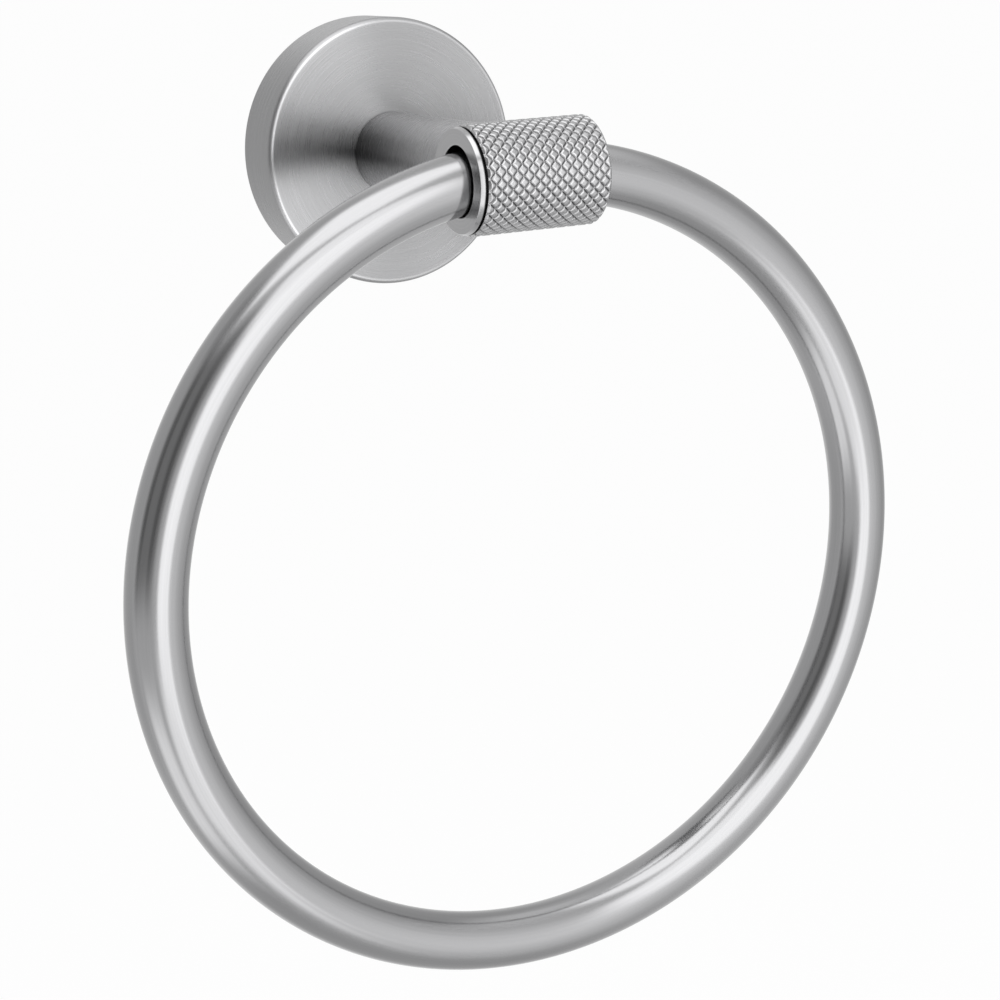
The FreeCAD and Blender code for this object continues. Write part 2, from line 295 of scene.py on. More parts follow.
def make_piece(name, points, quads, quad_uv, grain, triangles=None, triangle_uv=None,
               sharp_angle=35.0, extra=None):
    """A piece from arrays of points, faces, face-corner UVs and brush-mark coordinates.

    Extra holds further numbers for each point. Every piece has a shade of painted light that
    scales its colour: 1 in the open, less in a dark corner where shade is painted, and more
    under a painted highlight."""
    if not facing_out(points, quads):
        quads, quad_uv = quads[:, ::-1], quad_uv[:, ::-1]
        if triangles is not None:
            triangles, triangle_uv = triangles[:, ::-1], triangle_uv[:, ::-1]
    corners = quads.ravel()
    corner_uv = quad_uv.reshape(-1, 2)
    sizes = np.full(len(quads), 4)
    if triangles is not None:
        corners = np.concatenate([corners, triangles.ravel()])
        corner_uv = np.concatenate([corner_uv, triangle_uv.reshape(-1, 2)])
        sizes = np.concatenate([sizes, np.full(len(triangles), 3)])
    starts = np.concatenate([[0], np.cumsum(sizes)[:-1]])
    mesh = bpy.data.meshes.new(name)
    mesh.vertices.add(len(points))
    set_array(mesh.vertices, "co", points.astype(np.float32))
    mesh.loops.add(len(corners))
    set_array(mesh.loops, "vertex_index", corners.astype(np.int32))
    mesh.polygons.add(len(sizes))
    set_array(mesh.polygons, "loop_start", starts.astype(np.int32))
    mesh.update(calc_edges=True)
    uv = mesh.uv_layers.new(name="across_brush")
    set_array(uv.uv, "vector", corner_uv.astype(np.float32))
    marks = mesh.attributes.new("grain", "FLOAT_VECTOR", "POINT")
    set_array(marks.data, "vector", grain.astype(np.float32))
    for key, values in {"shade": np.ones(len(points)), **(extra or {})}.items():
        layer = mesh.attributes.new(key, "FLOAT", "POINT")
        set_array(layer.data, "value", values.astype(np.float32))
    close_poles(mesh)
    set_array(mesh.polygons, "use_smooth", np.ones(len(mesh.polygons), dtype=bool))
    mesh.set_sharp_from_angle(angle=math.radians(sharp_angle))
    mesh.validate()
    piece = bpy.data.objects.new(name, mesh)
    bpy.context.scene.collection.objects.link(piece)
    return piece


def close_poles(mesh):
    """Merge the points of a row that has shrunk to one place, as in the post's holes."""
    shell = bmesh.new()
    shell.from_mesh(mesh)
    bmesh.ops.remove_doubles(shell, verts=shell.verts, dist=1e-8)
    bmesh.ops.dissolve_degenerate(shell, dist=1e-9, edges=shell.edges)
    shell.to_mesh(mesh)
    shell.free()


def grid_faces(rows, columns, closed_rows):
    """Four-sided faces between the neighbours of a grid that is closed along its rows."""
    row = np.arange(rows if closed_rows else rows - 1)[:, None]
    column = np.arange(columns)[None, :]
    next_row = (row + 1) % rows
    next_column = (column + 1) % columns
    corners = (
        row * columns + column,
        next_row * columns + column,
        next_row * columns + next_column,
        row * columns + next_column,
    )
    return np.stack(np.broadcast_arrays(*corners), axis=-1).reshape(-1, 4)


def grid_uv(across, along):
    """UVs of the same faces, from the place of each grid line across and along the brush.

    Each list has one value more than the grid has closed lines, so no face spans the
    seam backwards."""
    a0, a1 = across[:-1, None], across[1:, None]
    b0, b1 = along[None, :-1], along[None, 1:]
    corners = ((a0, b0), (a1, b0), (a1, b1), (a0, b1))
    pairs = [np.stack(np.broadcast_arrays(a, b), axis=-1) for a, b in corners]
    return np.stack(pairs, axis=2).reshape(-1, 4, 2)


def rounded_profile(corners, arc_steps, longest):
    """Points of an outline through corners given as (along, radius, rounding).

    A rounding is an arc tangent to the two sides that meet there: its centre lies on
    the line that halves the corner, at rounding / sin(half the corner's angle). Straight
    stretches are divided so that no step is longer than the given length."""
    places = np.array([c[:2] for c in corners])
    lines = []
    for i, place in enumerate(places):
        rounding = corners[i][2]
        if not rounding:
            lines.append(place[None, :])
            continue
        before = places[i - 1] - place
        after = places[(i + 1) % len(places)] - place
        before, after = before / np.hypot(*before), after / np.hypot(*after)
        half_angle = math.acos(np.clip(before @ after, -1, 1)) / 2
        middle = (before + after) / np.hypot(*(before + after))
        centre = place + middle * rounding / math.sin(half_angle)
        reach = rounding / math.tan(half_angle)
        start = place + before * reach - centre
        end = place + after * reach - centre
        turn = math.pi - 2 * half_angle
        share = np.linspace(0, 1, arc_steps + 1)[:, None]
        mix = np.sin((1 - share) * turn) * start + np.sin(share * turn) * end
        lines.append(centre + mix / math.sin(turn))
    outline = np.concatenate(lines)
    steps = []
    for a, b in zip(outline, np.roll(outline, -1, axis=0)):
        count = max(1, math.ceil(np.hypot(*(b - a)) / longest - 1e-6))
        steps.append(a + (b - a) * np.arange(count)[:, None] / count)
    return np.concatenate(steps)


def brush_grain(across, around, radius):
    """Brush-mark coordinates of a turned surface, in marks.

    The first counts mark widths across the brush. The other two are the place round the
    axis on a circle, in mark lengths, so that the marks meet at the seam."""
    finish = bpy.context.scene.towel_ring_finish
    return np.stack(np.broadcast_arrays(
        across / finish.brush_width,
        np.cos(around) * radius / finish.brush_length,
        np.sin(around) * radius / finish.brush_length,
    ), axis=-1)


def turned_piece(name, profile, origin, axis, side, steps, shade=1.0):
    """A surface as a lathe makes it: the closed profile (along, radius) carried round.

    The point at an angle is origin + axis * along + radius * (side * cos + third * sin).
    The shade is one number for each point, or for each row of points, 1 in the open."""
    origin, axis, side = (np.array(v) for v in (origin, axis, side))
    third = np.cross(axis, side)
    angle = np.arange(steps) / steps * 2 * math.pi
    spoke = np.cos(angle)[:, None] * side + np.sin(angle)[:, None] * third
    points = origin + profile[:, None, :1] * axis + profile[:, None, 1:] * spoke[None]
    length = np.hypot(*(np.roll(profile, -1, axis=0) - profile).T)
    across = np.concatenate([[0], np.cumsum(length)])
    rows = len(profile)
    if np.ndim(shade) < 2:
        shade = np.broadcast_to(shade, rows)[:, None]
    along = np.linspace(0, 2 * math.pi * profile[:, 1].mean(), steps + 1)
    marks = brush_grain(across[:rows, None], angle[None, :], profile[:, 1].max())
    return make_piece(
        name,
        points.reshape(-1, 3),
        grid_faces(rows, steps, True),
        grid_uv(across / MM, along / MM),
        marks.reshape(-1, 3),
        extra={"shade": np.broadcast_to(shade, (rows, steps)).ravel()},
    )


# Materials

def add(tree, kind, links=None, **settings):
    """Add a node. Each link gives an input either a value or another node's output."""
    node = tree.nodes.new(kind)
    for key, value in settings.items():
        setattr(node, key, value)
    for key, value in (links or {}).items():
        if isinstance(value, bpy.types.NodeSocket):
            tree.links.new(value, node.inputs[key])
        else:
            node.inputs[key].default_value = value
    return node


def new_material(name):
    """An empty material with its output node."""
    material = bpy.data.materials.new(name)
    material.use_nodes = True
    tree = material.node_tree
    tree.nodes.clear()
    return material, tree, add(tree, "ShaderNodeOutputMaterial")


def brushed_steel(name, colour, roughness, anisotropy, mark_depth, tone=0.05):
    """Stainless steel, brushed in one direction with a fine abrasive belt or in a lathe.

    It shows long fine streaks, and its highlights are drawn out across them. The mark
    depth is how deep the streaks are, and the tone is how much their grey varies."""
    material, tree, output = new_material(name)
    grain = add(tree, "ShaderNodeAttribute", attribute_name="grain").outputs["Vector"]
    fine = add(tree, "ShaderNodeTexNoise", {
        "Vector": grain, "Scale": 1.0, "Detail": 3.0, "Roughness": 0.6,
    })
    wide = add(tree, "ShaderNodeTexNoise", {
        "Vector": grain, "Scale": 0.4, "Detail": 3.0, "Roughness": 0.6,
    })
    tones = add(tree, "ShaderNodeMapRange", {
        "Value": wide.outputs["Fac"], "From Min": 0.3, "From Max": 0.7,
        "To Min": 1.0 - tone, "To Max": 1.0 + tone,
    })
    # The shade attribute scales the colour: painted shade where it is below 1, a painted
    # highlight where above
    shade = add(tree, "ShaderNodeAttribute", attribute_name="shade").outputs["Fac"]
    level = add(tree, "ShaderNodeMath", {
        0: tones.outputs["Result"], 1: shade,
    }, operation="MULTIPLY")
    shaded = add(tree, "ShaderNodeVectorMath", {
        0: colour, "Scale": level.outputs["Value"],
    }, operation="SCALE")
    rough = add(tree, "ShaderNodeMapRange", {
        "Value": fine.outputs["Fac"], "From Min": 0.3, "From Max": 0.7,
        "To Min": roughness * 0.85, "To Max": roughness * 1.15,
    })
    bump = add(tree, "ShaderNodeBump", {
        "Strength": 1.0, "Distance": mark_depth, "Height": fine.outputs["Fac"],
    })
    tangent = add(tree, "ShaderNodeTangent", direction_type="UV_MAP", uv_map="across_brush")
    metal = add(tree, "ShaderNodeBsdfPrincipled", {
        "Base Color": shaded.outputs["Vector"],
        "Metallic": 1.0,
        "Roughness": rough.outputs["Result"],
        "Anisotropic": anisotropy,
        "Normal": bump.outputs["Normal"],
        "Tangent": tangent.outputs["Tangent"],
    })
    tree.links.new(metal.outputs["BSDF"], output.inputs["Surface"])
    return material


def knurled_steel(name, crest, groove):
    """Stainless steel with a knurl pressed in by two wheels.

    The crests are worn smoother and the grooves stay rougher, and painted shade darkens the
    colour from the crests down to the bottom of the grooves. Small pits break up the reflection
    in each diamond."""
    groove_roughness, crest_roughness = 0.3, 0.24
    pit_size, pit_depth = 0.4 * MM, 0.04 * MM
    material, tree, output = new_material(name)
    height = add(tree, "ShaderNodeAttribute", attribute_name="height").outputs["Fac"]
    shade = add(tree, "ShaderNodeAttribute", attribute_name="shade").outputs["Fac"]
    place = add(tree, "ShaderNodeTexCoord").outputs["Object"]
    pits = add(tree, "ShaderNodeTexNoise", {
        "Vector": place, "Scale": 1 / pit_size, "Detail": 4.0, "Roughness": 0.7,
    })
    # Painted shade: the colour runs from the groove colour at the bottom of the grooves up to
    # the crest colour
    ramp = add(tree, "ShaderNodeValToRGB", {"Fac": height})
    stops = ramp.color_ramp.elements
    stops[0].position, stops[0].color = 0.0, (*groove, 1)
    stops[1].position, stops[1].color = 0.8, (*crest, 1)
    shaded = add(tree, "ShaderNodeVectorMath", {
        0: ramp.outputs["Color"], "Scale": shade,
    }, operation="SCALE")
    rough = add(tree, "ShaderNodeMapRange", {
        "Value": height, "To Min": groove_roughness, "To Max": crest_roughness,
    })
    bump = add(tree, "ShaderNodeBump", {
        "Strength": 1.0, "Distance": pit_depth, "Height": pits.outputs["Fac"],
    })
    metal = add(tree, "ShaderNodeBsdfPrincipled", {
        "Base Color": shaded.outputs["Vector"],
        "Metallic": 1.0,
        "Roughness": rough.outputs["Result"],
        "Normal": bump.outputs["Normal"],
    })
    tree.links.new(metal.outputs["BSDF"], output.inputs["Surface"])
    return material


def plain_steel(name, colour, roughness):
    """Stainless steel as it leaves the lathe or the screw maker, not brushed.

    It is a little duller than the brushed faces and faintly mottled."""
    mottle_size, mottle_change = 1.5 * MM, 0.06
    material, tree, output = new_material(name)
    place = add(tree, "ShaderNodeTexCoord").outputs["Object"]
    mottle = add(tree, "ShaderNodeTexNoise", {
        "Vector": place, "Scale": 1 / mottle_size, "Detail": 4.0, "Roughness": 0.6,
    })
    rough = add(tree, "ShaderNodeMapRange", {
        "Value": mottle.outputs["Fac"], "From Min": 0.3, "From Max": 0.7,
        "To Min": roughness - mottle_change, "To Max": roughness + mottle_change,
    })
    metal = add(tree, "ShaderNodeBsdfPrincipled", {
        "Base Color": (*colour, 1),
        "Metallic": 1.0,
        "Roughness": rough.outputs["Result"],
    })
    tree.links.new(metal.outputs["BSDF"], output.inputs["Surface"])
    return material


def give(piece, material):
    """Put one material on the whole of a piece."""
    piece.data.materials.clear()
    piece.data.materials.append(material)


# Pieces

class TowelRingRose(bpy.types.Operator):
    """Make the turned rose with its rounded front edge and the recess behind"""

    bl_idname = "towel_ring.rose"
    bl_label = "Rose"

    def execute(self, context):
        sizes = context.scene.towel_ring_sizes
        finish = context.scene.towel_ring_finish
        recess_radius = ROSE_RADIUS - sizes.rose_side_wall
        recess_depth = ROSE_THICKNESS - sizes.rose_front_wall
        profile = rounded_profile(
            [
                (0, recess_radius, 0),
                (0, ROSE_RADIUS - sizes.back_chamfer, 0),
                (sizes.back_chamfer, ROSE_RADIUS, 0),
                (ROSE_THICKNESS, ROSE_RADIUS, sizes.rose_rounding),
                (ROSE_THICKNESS, sizes.screw_hole, 0),
                (recess_depth, sizes.screw_hole, 0),
                (recess_depth, recess_radius, 0),
            ],
            arc_steps=12,
            longest=1.0 * MM,
        )

        # A painted highlight brightens the front edge in a narrow band, 20 degrees round its
        # rounding
        along, radius = profile.T
        edge_turn = np.degrees(np.arcsin(np.clip(
            (radius - ROSE_RADIUS) / sizes.rose_rounding + 1, 0, 1,
        )))
        highlight_middle, highlight_width, highlight_gain = 20, 12, 0.8
        in_front = along > ROSE_THICKNESS - sizes.rose_rounding
        painted_edge_highlight = highlight_gain * in_front * np.exp(-((edge_turn - highlight_middle) / highlight_width) ** 2)

        # The face is darker in the corner beside the post, most of all to the sides,
        # where each hides the light from the other
        corner_reach, corner_depth, corner_all_round = 7 * MM, 0.5, 0.15
        on_face = along > ROSE_THICKNESS - SAME_PLACE
        near_post = on_face * np.exp(-np.maximum(radius - POST_RADIUS, 0) / corner_reach)
        steps = 512
        angle = np.arange(steps) / steps * 2 * math.pi
        sideways = corner_all_round + (1 - corner_all_round) * np.cos(angle)[None, :] ** 2
        shade = 1 + painted_edge_highlight[:, None] - corner_depth * near_post[:, None] * sideways
        piece = turned_piece(
            "rose_cover", profile, (0, 0, 0), (0, -1, 0), (1, 0, 0), steps, shade,
        )
        drill_set_screw_hole(piece)
        give(piece, brushed_steel(
            "Stainless steel, brushed in circles", finish.steel, 0.29, 0.95, 0.001 * MM, 0.025,
        ))
        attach(piece, "wall_side")
        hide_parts("rose")
        return {"FINISHED"}


def drill_set_screw_hole(rose):
    """Cut the hole for the set screw through the underside of the rose."""
    clearance = 0.05 * MM
    drill_length = 8 * MM
    wall_shade = 0.5
    radius = (SET_SCREW_HIGH.x - SET_SCREW_LOW.x) / 2 + clearance
    middle = (SET_SCREW_LOW + SET_SCREW_HIGH) / 2
    shell = bmesh.new()
    bmesh.ops.create_cone(
        shell, cap_ends=True, segments=64, radius1=radius, radius2=radius, depth=drill_length,
        matrix=Matrix.Translation((middle.x, middle.y, ROSE_LOW.z)),
    )
    mesh = bpy.data.meshes.new("set_screw_drill")
    shell.to_mesh(mesh)
    shell.free()
    drill = bpy.data.objects.new("set_screw_drill", mesh)
    bpy.context.scene.collection.objects.link(drill)
    cut = rose.modifiers.new("set screw hole", "BOOLEAN")
    cut.object = drill
    cut.operation = "DIFFERENCE"
    cut.solver = "EXACT"
    graph = bpy.context.evaluated_depsgraph_get()
    drilled = bpy.data.meshes.new_from_object(rose.evaluated_get(graph))
    rose.modifiers.clear()
    rose.data = drilled
    bpy.data.objects.remove(drill)
    bpy.data.meshes.remove(mesh)
    drilled.set_sharp_from_angle(angle=math.radians(35))

    # The wall of the hole is new and has no shade yet
    shade = np.empty(len(drilled.vertices), dtype=np.float32)
    layer = drilled.attributes["shade"].data
    layer.foreach_get("value", shade)
    set_array(layer, "value", np.where(shade < 0.01, np.float32(wall_shade), shade))


class TowelRingPost(bpy.types.Operator):
    """Make the round post, hollowed at its far end to sit on the sleeve"""

    bl_idname = "towel_ring.post"
    bl_label = "Post"

    def execute(self, context):
        sizes = context.scene.towel_ring_sizes
        finish = context.scene.towel_ring_finish
        hole = sizes.screw_hole
        seat_radius = SLEEVE_RADIUS - sizes.seat_depth
        screw_hole_end = ROSE_THICKNESS + sizes.screw_hole_depth
        stud_hole_end = STAND_OFF - sizes.stud_hole_reach
        chamfer = sizes.back_chamfer
        steps = 384
        angle = np.arange(steps) / steps * 2 * math.pi

        # Rows from the screw hole's bottom, out along the bar, over the hollow and into
        # the stud's hole: each has a radius, and a share of the way from a depth in the
        # post to the hollow, whose depth at z is stand-off - sqrt(seat^2 - z^2).
        bar = 24
        saddle = 10
        radius = np.concatenate([
            [0, hole, hole, POST_RADIUS - chamfer],
            np.full(bar, POST_RADIUS),
            np.linspace(POST_RADIUS, hole, saddle)[1:],
            [hole, 0],
        ])
        depth = np.concatenate([
            [screw_hole_end, screw_hole_end, ROSE_THICKNESS, ROSE_THICKNESS],
            np.full(bar, ROSE_THICKNESS + chamfer),
            np.zeros(saddle - 1),
            [stud_hole_end, stud_hole_end],
        ])
        share = np.concatenate([
            np.zeros(4), np.linspace(0, 1, bar), np.ones(saddle - 1), np.zeros(2),
        ])
        x = radius[:, None] * np.cos(angle)
        z = radius[:, None] * np.sin(angle)
        hollow = STAND_OFF - np.sqrt(seat_radius ** 2 - z ** 2)
        y = -(depth[:, None] * (1 - share[:, None]) + hollow * share[:, None])
        points = np.stack([x, y, z], axis=-1)
        step = np.linalg.norm(np.diff(points[:, 0], axis=0), axis=1)
        marks_along = np.concatenate([[0], np.cumsum(step)]) / MM

        # The post is turned, so the marks' width runs along it
        width, length = finish.brush_width, finish.brush_length
        grain = np.stack([-y / width, x / length, z / length], axis=-1)
        round_mm = np.linspace(0, 2 * math.pi * POST_RADIUS / MM, steps + 1)

        # Painted shade darkens its sides near the rose, most of all 20 degrees above the level,
        # and a thin line of painted shade marks the seam where it meets the rose
        across, upwards = 0.94, 0.34
        corner_reach, corner_depth = 22 * MM, 0.8
        seam_width, seam_depth = 0.15 * MM, 0.8
        from_rose = np.maximum(-y - ROSE_THICKNESS, 0)
        sideways = (across * np.abs(x) + upwards * z) / np.maximum(radius[:, None], MM)
        reach = np.exp(-(from_rose / corner_reach) ** 2)
        shade = 1 - corner_depth * reach * np.maximum(sideways, 0) ** 3
        shade *= 1 - seam_depth * np.exp(-from_rose / seam_width)
        piece = make_piece(
            "post_bar", points.reshape(-1, 3), grid_faces(len(radius), steps, False),
            grid_uv(marks_along, round_mm), grain.reshape(-1, 3), extra={"shade": shade.ravel()},
        )
        give(piece, brushed_steel(
            "Stainless steel bar, turned", finish.worn_steel, 0.26, 0.8, 0.0004 * MM, 0.02,
        ))
        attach(piece, "wall_side")
        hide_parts("post")
        return {"FINISHED"}


class TowelRingSleeve(bpy.types.Operator):
    """Make the knurled sleeve on a net whose edges follow the knurl's grooves"""

    bl_idname = "towel_ring.sleeve"
    bl_label = "Knurled sleeve"

    def execute(self, context):
        sizes = context.scene.towel_ring_sizes
        finish = context.scene.towel_ring_finish
        parts = 12  # net steps to a diamond
        length = SLEEVE_HIGH.x - SLEEVE_LOW.x
        rows = round(length / sizes.knurl_pitch * 2 * parts)
        columns = sizes.knurl_starts * parts
        inside = sizes.liner_bore / 2 + sizes.liner_wall + sizes.liner_fit

        # Every other row is turned by half a step. A step round and a step along each
        # move by one half part of a diamond, so both kinds of groove run on net lines.
        row = np.arange(rows + 1)[:, None]
        half_steps = 2 * np.arange(columns)[None, :] + row % 2
        turn = half_steps / (2 * parts)
        travel = (row - rows / 2) / (2 * parts)
        angle = turn / sizes.knurl_starts * 2 * math.pi
        x = SLEEVE_LOW.x + row / rows * length + 0 * angle

        # Height: beside a groove it rises from 0 up a steep wall, then up a gentler
        # bevel to 1 on the flat, and the nearer groove counts. The flat is a low dome,
        # the product of two parabolas.
        from_groove = [np.abs(g - np.round(g)) for g in (turn + travel, turn - travel)]
        flat = np.interp(
            np.minimum(*from_groove),
            [0, sizes.knurl_wall_share, sizes.knurl_slope_share],
            [0, sizes.knurl_wall_rise, 1],
        )
        dome = np.prod([1 - (1 - 2 * g) ** 2 for g in from_groove], axis=0)
        height = flat * (1 - sizes.knurl_crown_share) + dome * sizes.knurl_crown_share
        radius = SLEEVE_RADIUS - sizes.knurl_depth * (1 - height)
        from_end = np.minimum(x - SLEEVE_LOW.x, SLEEVE_HIGH.x - x)
        radius = np.minimum(radius, SLEEVE_RADIUS - sizes.sleeve_chamfer + from_end)

        # The post's end sits in a smooth round seat on the wall side
        seat_margin = 0.08 * MM
        from_post_axis = np.hypot(x, radius * np.sin(angle))
        seat = (from_post_axis < POST_RADIUS + seat_margin) & (np.cos(angle) < 0)
        seat_radius = SLEEVE_RADIUS - sizes.seat_depth - sizes.seat_clearance
        radius = np.where(seat, seat_radius, radius)
        height = np.where(seat, 0.5, height)
        y = -STAND_OFF - radius * np.cos(angle)
        z = radius * np.sin(angle)
        outside = np.stack([x, y, z], axis=-1).reshape(-1, 3)

        # The bore, one row of points at each end, in line with the net's end rows
        bore_rows = []
        for r in (rows, 0):
            bore_rows.append(np.stack([
                x[r],
                -STAND_OFF - inside * np.cos(angle[r]),
                inside * np.sin(angle[r]),
            ], axis=-1))
        points = np.concatenate([outside, *bore_rows])

        # Net faces: a point, its two neighbours in the next row and the one beyond
        r = np.arange(rows - 1)[:, None]
        c = np.arange(columns)[None, :]
        left = np.where(r % 2 == 0, c - 1, c) % columns
        right = np.where(r % 2 == 0, c, c + 1) % columns
        quads = np.stack(np.broadcast_arrays(
            r * columns + c,
            (r + 1) * columns + right,
            (r + 2) * columns + c,
            (r + 1) * columns + left,
        ), axis=-1).reshape(-1, 4)

        # The two end rows are closed with triangles
        c = c.ravel()
        after = (c + 1) % columns
        first = np.stack([c, after, columns + c], axis=-1)
        last_row = rows * columns
        near = (rows - 1) * columns + (after if rows % 2 else c)
        last = np.stack([last_row + c, near, last_row + after], axis=-1)
        triangles = np.concatenate([first, last])

        # End faces and bore
        bore_high = (rows + 1) * columns
        bore_low = bore_high + columns
        strips = []
        for near_row, far_row in ((last_row, bore_high), (bore_high, bore_low), (bore_low, 0)):
            strips.append(np.stack([
                near_row + c, far_row + c, far_row + after, near_row + after,
            ], axis=-1))
        quads = np.concatenate([quads, *strips])

        # The bore counts as half way up the knurl. The left end face is darker towards
        # its middle, in the shadow of the flange, and the right one is in the open.
        heights = np.concatenate([height.ravel(), np.full(2 * columns, 0.5)])
        edge_shade, shade_reach = 0.5, 0.2 * MM
        shade = np.concatenate([
            np.clip(edge_shade + (x - SLEEVE_LOW.x) / shade_reach, 0, 1).ravel(),
            np.ones(columns), np.zeros(columns),
        ])
        flat_uv = points[:, [0, 2]] / MM
        piece = make_piece(
            "knurled_sleeve_steel", points, quads, flat_uv[quads], points / MM,
            triangles, flat_uv[triangles], sharp_angle=75.0,
            extra={"height": heights, "shade": shade},
        )
        give(piece, knurled_steel(
            "Stainless steel, diamond knurled", finish.worn_steel, finish.painted_groove_shade,
        ))
        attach(piece, "wall_side")
        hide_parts("knurled_sleeve")
        return {"FINISHED"}


class TowelRingLiner(bpy.types.Operator):
    """Make the smooth liner with the flange at its left mouth"""

    bl_idname = "towel_ring.liner"
    bl_label = "Flanged liner"

    def execute(self, context):
        sizes = context.scene.towel_ring_sizes
        finish = context.scene.towel_ring_finish
        bore = sizes.liner_bore / 2
        outside = bore + sizes.liner_wall
        shoulder = outside + sizes.shoulder_height
        left = LINER_LOW.x
        flange_end = left + sizes.flange_thickness
        face_edge = FLANGE_RADIUS - sizes.flange_bevel_height
        profile = rounded_profile(
            [
                (left, bore, sizes.liner_mouth_rounding),
                (left, face_edge, sizes.flange_rounding),
                (left + sizes.flange_bevel_length, FLANGE_RADIUS, sizes.flange_rounding),
                (flange_end, FLANGE_RADIUS, 0),
                (flange_end, shoulder, 0),
                (SLEEVE_LOW.x, shoulder, 0),
                (SLEEVE_LOW.x, outside, 0),
                (LINER_HIGH.x, outside, 0),
                (LINER_HIGH.x, bore, sizes.liner_mouth_rounding),
            ],
            arc_steps=8,
            longest=1.0 * MM,
        )

        # Painted shade darkens the gap behind the flange and the bore past its mouth, and a
        # little the flange's face
        gap_shade, bore_shade, face_shade = 0.15, 0.6, 0.93
        mouth_length = 2 * MM
        along, radius = profile.T
        in_gap = (along > flange_end - SAME_PLACE) & (radius > outside)
        in_bore = (radius < bore + SAME_PLACE) & (along > left + mouth_length)
        on_face = along < left + 2 * SAME_PLACE
        shade = np.select([in_gap, in_bore, on_face], [gap_shade, bore_shade, face_shade], 1.0)
        piece = turned_piece(
            "liner_turned", profile, SLEEVE_AXIS, (1, 0, 0), (0, 0, 1), 384, shade,
        )
        give(piece, brushed_steel(
            "Stainless steel, turned and polished", finish.worn_steel, 0.2, 0.7, 0.001 * MM,
        ))
        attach(piece, "wall_side")
        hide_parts("flanged_liner")
        return {"FINISHED"}


class TowelRingTube(bpy.types.Operator):
    """Make the ring: a tube bent to a circle, with its joint inside the liner"""

    bl_idname = "towel_ring.tube"
    bl_label = "Ring"

    def execute(self, context):
        sizes = context.scene.towel_ring_sizes
        finish = context.scene.towel_ring_finish
        sections, outer_stations, bore_stations = 72, 541, 145
        half_gap = sizes.joint_gap / RING_RADIUS / 2

        # Stations run round the outside of the tube and back along its bore. A point is
        # centre + spoke * (ring radius + tube radius * cos) - y * tube radius * sin.
        out_turn = np.linspace(half_gap, 2 * math.pi - half_gap, outer_stations)
        back_turn = np.linspace(2 * math.pi - half_gap, half_gap, bore_stations)
        turn = np.concatenate([out_turn, back_turn])[:, None]
        tube = np.concatenate([
            np.full(len(out_turn), TUBE_RADIUS),
            np.full(len(back_turn), TUBE_RADIUS - sizes.tube_wall),
        ])[:, None]
        around = np.arange(sections)[None, :] / sections * 2 * math.pi
        reach = RING_RADIUS + tube * np.cos(around)
        points = np.stack([
            RING_CENTRE.x + reach * np.sin(turn),
            RING_CENTRE.y - tube * np.sin(around) + 0 * turn,
            RING_CENTRE.z + reach * np.cos(turn),
        ], axis=-1)

        # The ring is brushed along its length, so the marks' width runs round the tube
        grain = np.stack(np.broadcast_arrays(
            tube * np.cos(around) / finish.brush_width,
            tube * np.sin(around) / finish.brush_width,
            turn * RING_RADIUS / finish.brush_length,
        ), axis=-1)
        turn_mm = turn[:, 0] * RING_RADIUS / MM
        along = np.append(turn_mm, turn_mm[0])
        across = np.linspace(0, 2 * math.pi * TUBE_RADIUS / MM, sections + 1)
        uv = grid_uv(along, across)[..., ::-1]
        piece = make_piece(
            "ring_brushed", points.reshape(-1, 3), grid_faces(len(turn), sections, True),
            uv, grain.reshape(-1, 3),
        )
        give(piece, brushed_steel(
            "Stainless steel tube, brushed along its length",
            finish.steel, 0.17, 0.5, 0.0008 * MM, 0.03,
        ))
        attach(piece, "ring")
        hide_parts("ring_tube")
        return {"FINISHED"}


class TowelRingHidden(bpy.types.Operator):
    """Give the bracket and the fasteners their plain steel"""

    bl_idname = "towel_ring.hidden_parts"
    bl_label = "Bracket and fasteners"

    def execute(self, context):
        finish = context.scene.towel_ring_finish
        turned = plain_steel("Stainless steel, turned", finish.screw_steel, 0.36)
        screws = plain_steel("Stainless steel fasteners", finish.screw_steel, 0.3)
        give(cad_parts["wall_bracket"], turned)
        for name in (
            "rose_set_screw", "post_screw", "post_lock_washer", "post_locating_pin",
            "sleeve_stud", "ring_joint_pin",
        ):
            give(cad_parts[name], screws)
        return {"FINISHED"}


class TowelRingMakeStage(bpy.types.Operator):
    """Set up the camera, the pale floor and the soft light"""

    bl_idname = "towel_ring.stage"
    bl_label = "Stage"

    def execute(self, context):
        stage = context.scene.towel_ring_stage
        place_camera(context.scene, stage)
        make_floor(stage)
        make_world(context.scene)
        make_lights(stage)
        context.scene.view_settings.view_transform = "Standard"
        return {"FINISHED"}


def place_camera(scene, stage):
    """A camera that looks at the target from an azimuth and elevation, with its roll."""
    a, e, r = stage.azimuth, stage.elevation, stage.roll
    back = Vector((math.sin(a) * math.cos(e), -math.cos(a) * math.cos(e), math.sin(e)))
    right = (-back).cross(Vector((0, 0, 1))).normalized()
    up = right.cross(-back)
    side = right * math.cos(r) + up * math.sin(r)
    top = up * math.cos(r) - right * math.sin(r)
    lens = bpy.data.cameras.new("camera")
    lens.sensor_width = 36
    lens.lens = stage.lens
    lens.clip_start = 0.01
    lens.clip_end = 200
    camera = bpy.data.objects.new("camera", lens)
    turn = Matrix((side, top, back)).transposed().to_4x4()
    camera.matrix_world = Matrix.Translation(Vector(stage.target) + back * stage.distance) @ turn
    scene.collection.objects.link(camera)
    scene.camera = camera


def shown_to_eye(tree):
    """1 for a ray from the camera, from metal or through glass, and 0 for any other."""
    path = add(tree, "ShaderNodeLightPath")
    seen = add(tree, "ShaderNodeMath", {
        0: path.outputs["Is Camera Ray"], 1: path.outputs["Is Glossy Ray"],
    }, operation="ADD")
    shown = add(tree, "ShaderNodeMath", {
        0: seen.outputs["Value"], 1: path.outputs["Is Transmission Ray"],
    }, operation="ADD", use_clamp=True)
    return shown.outputs["Value"]


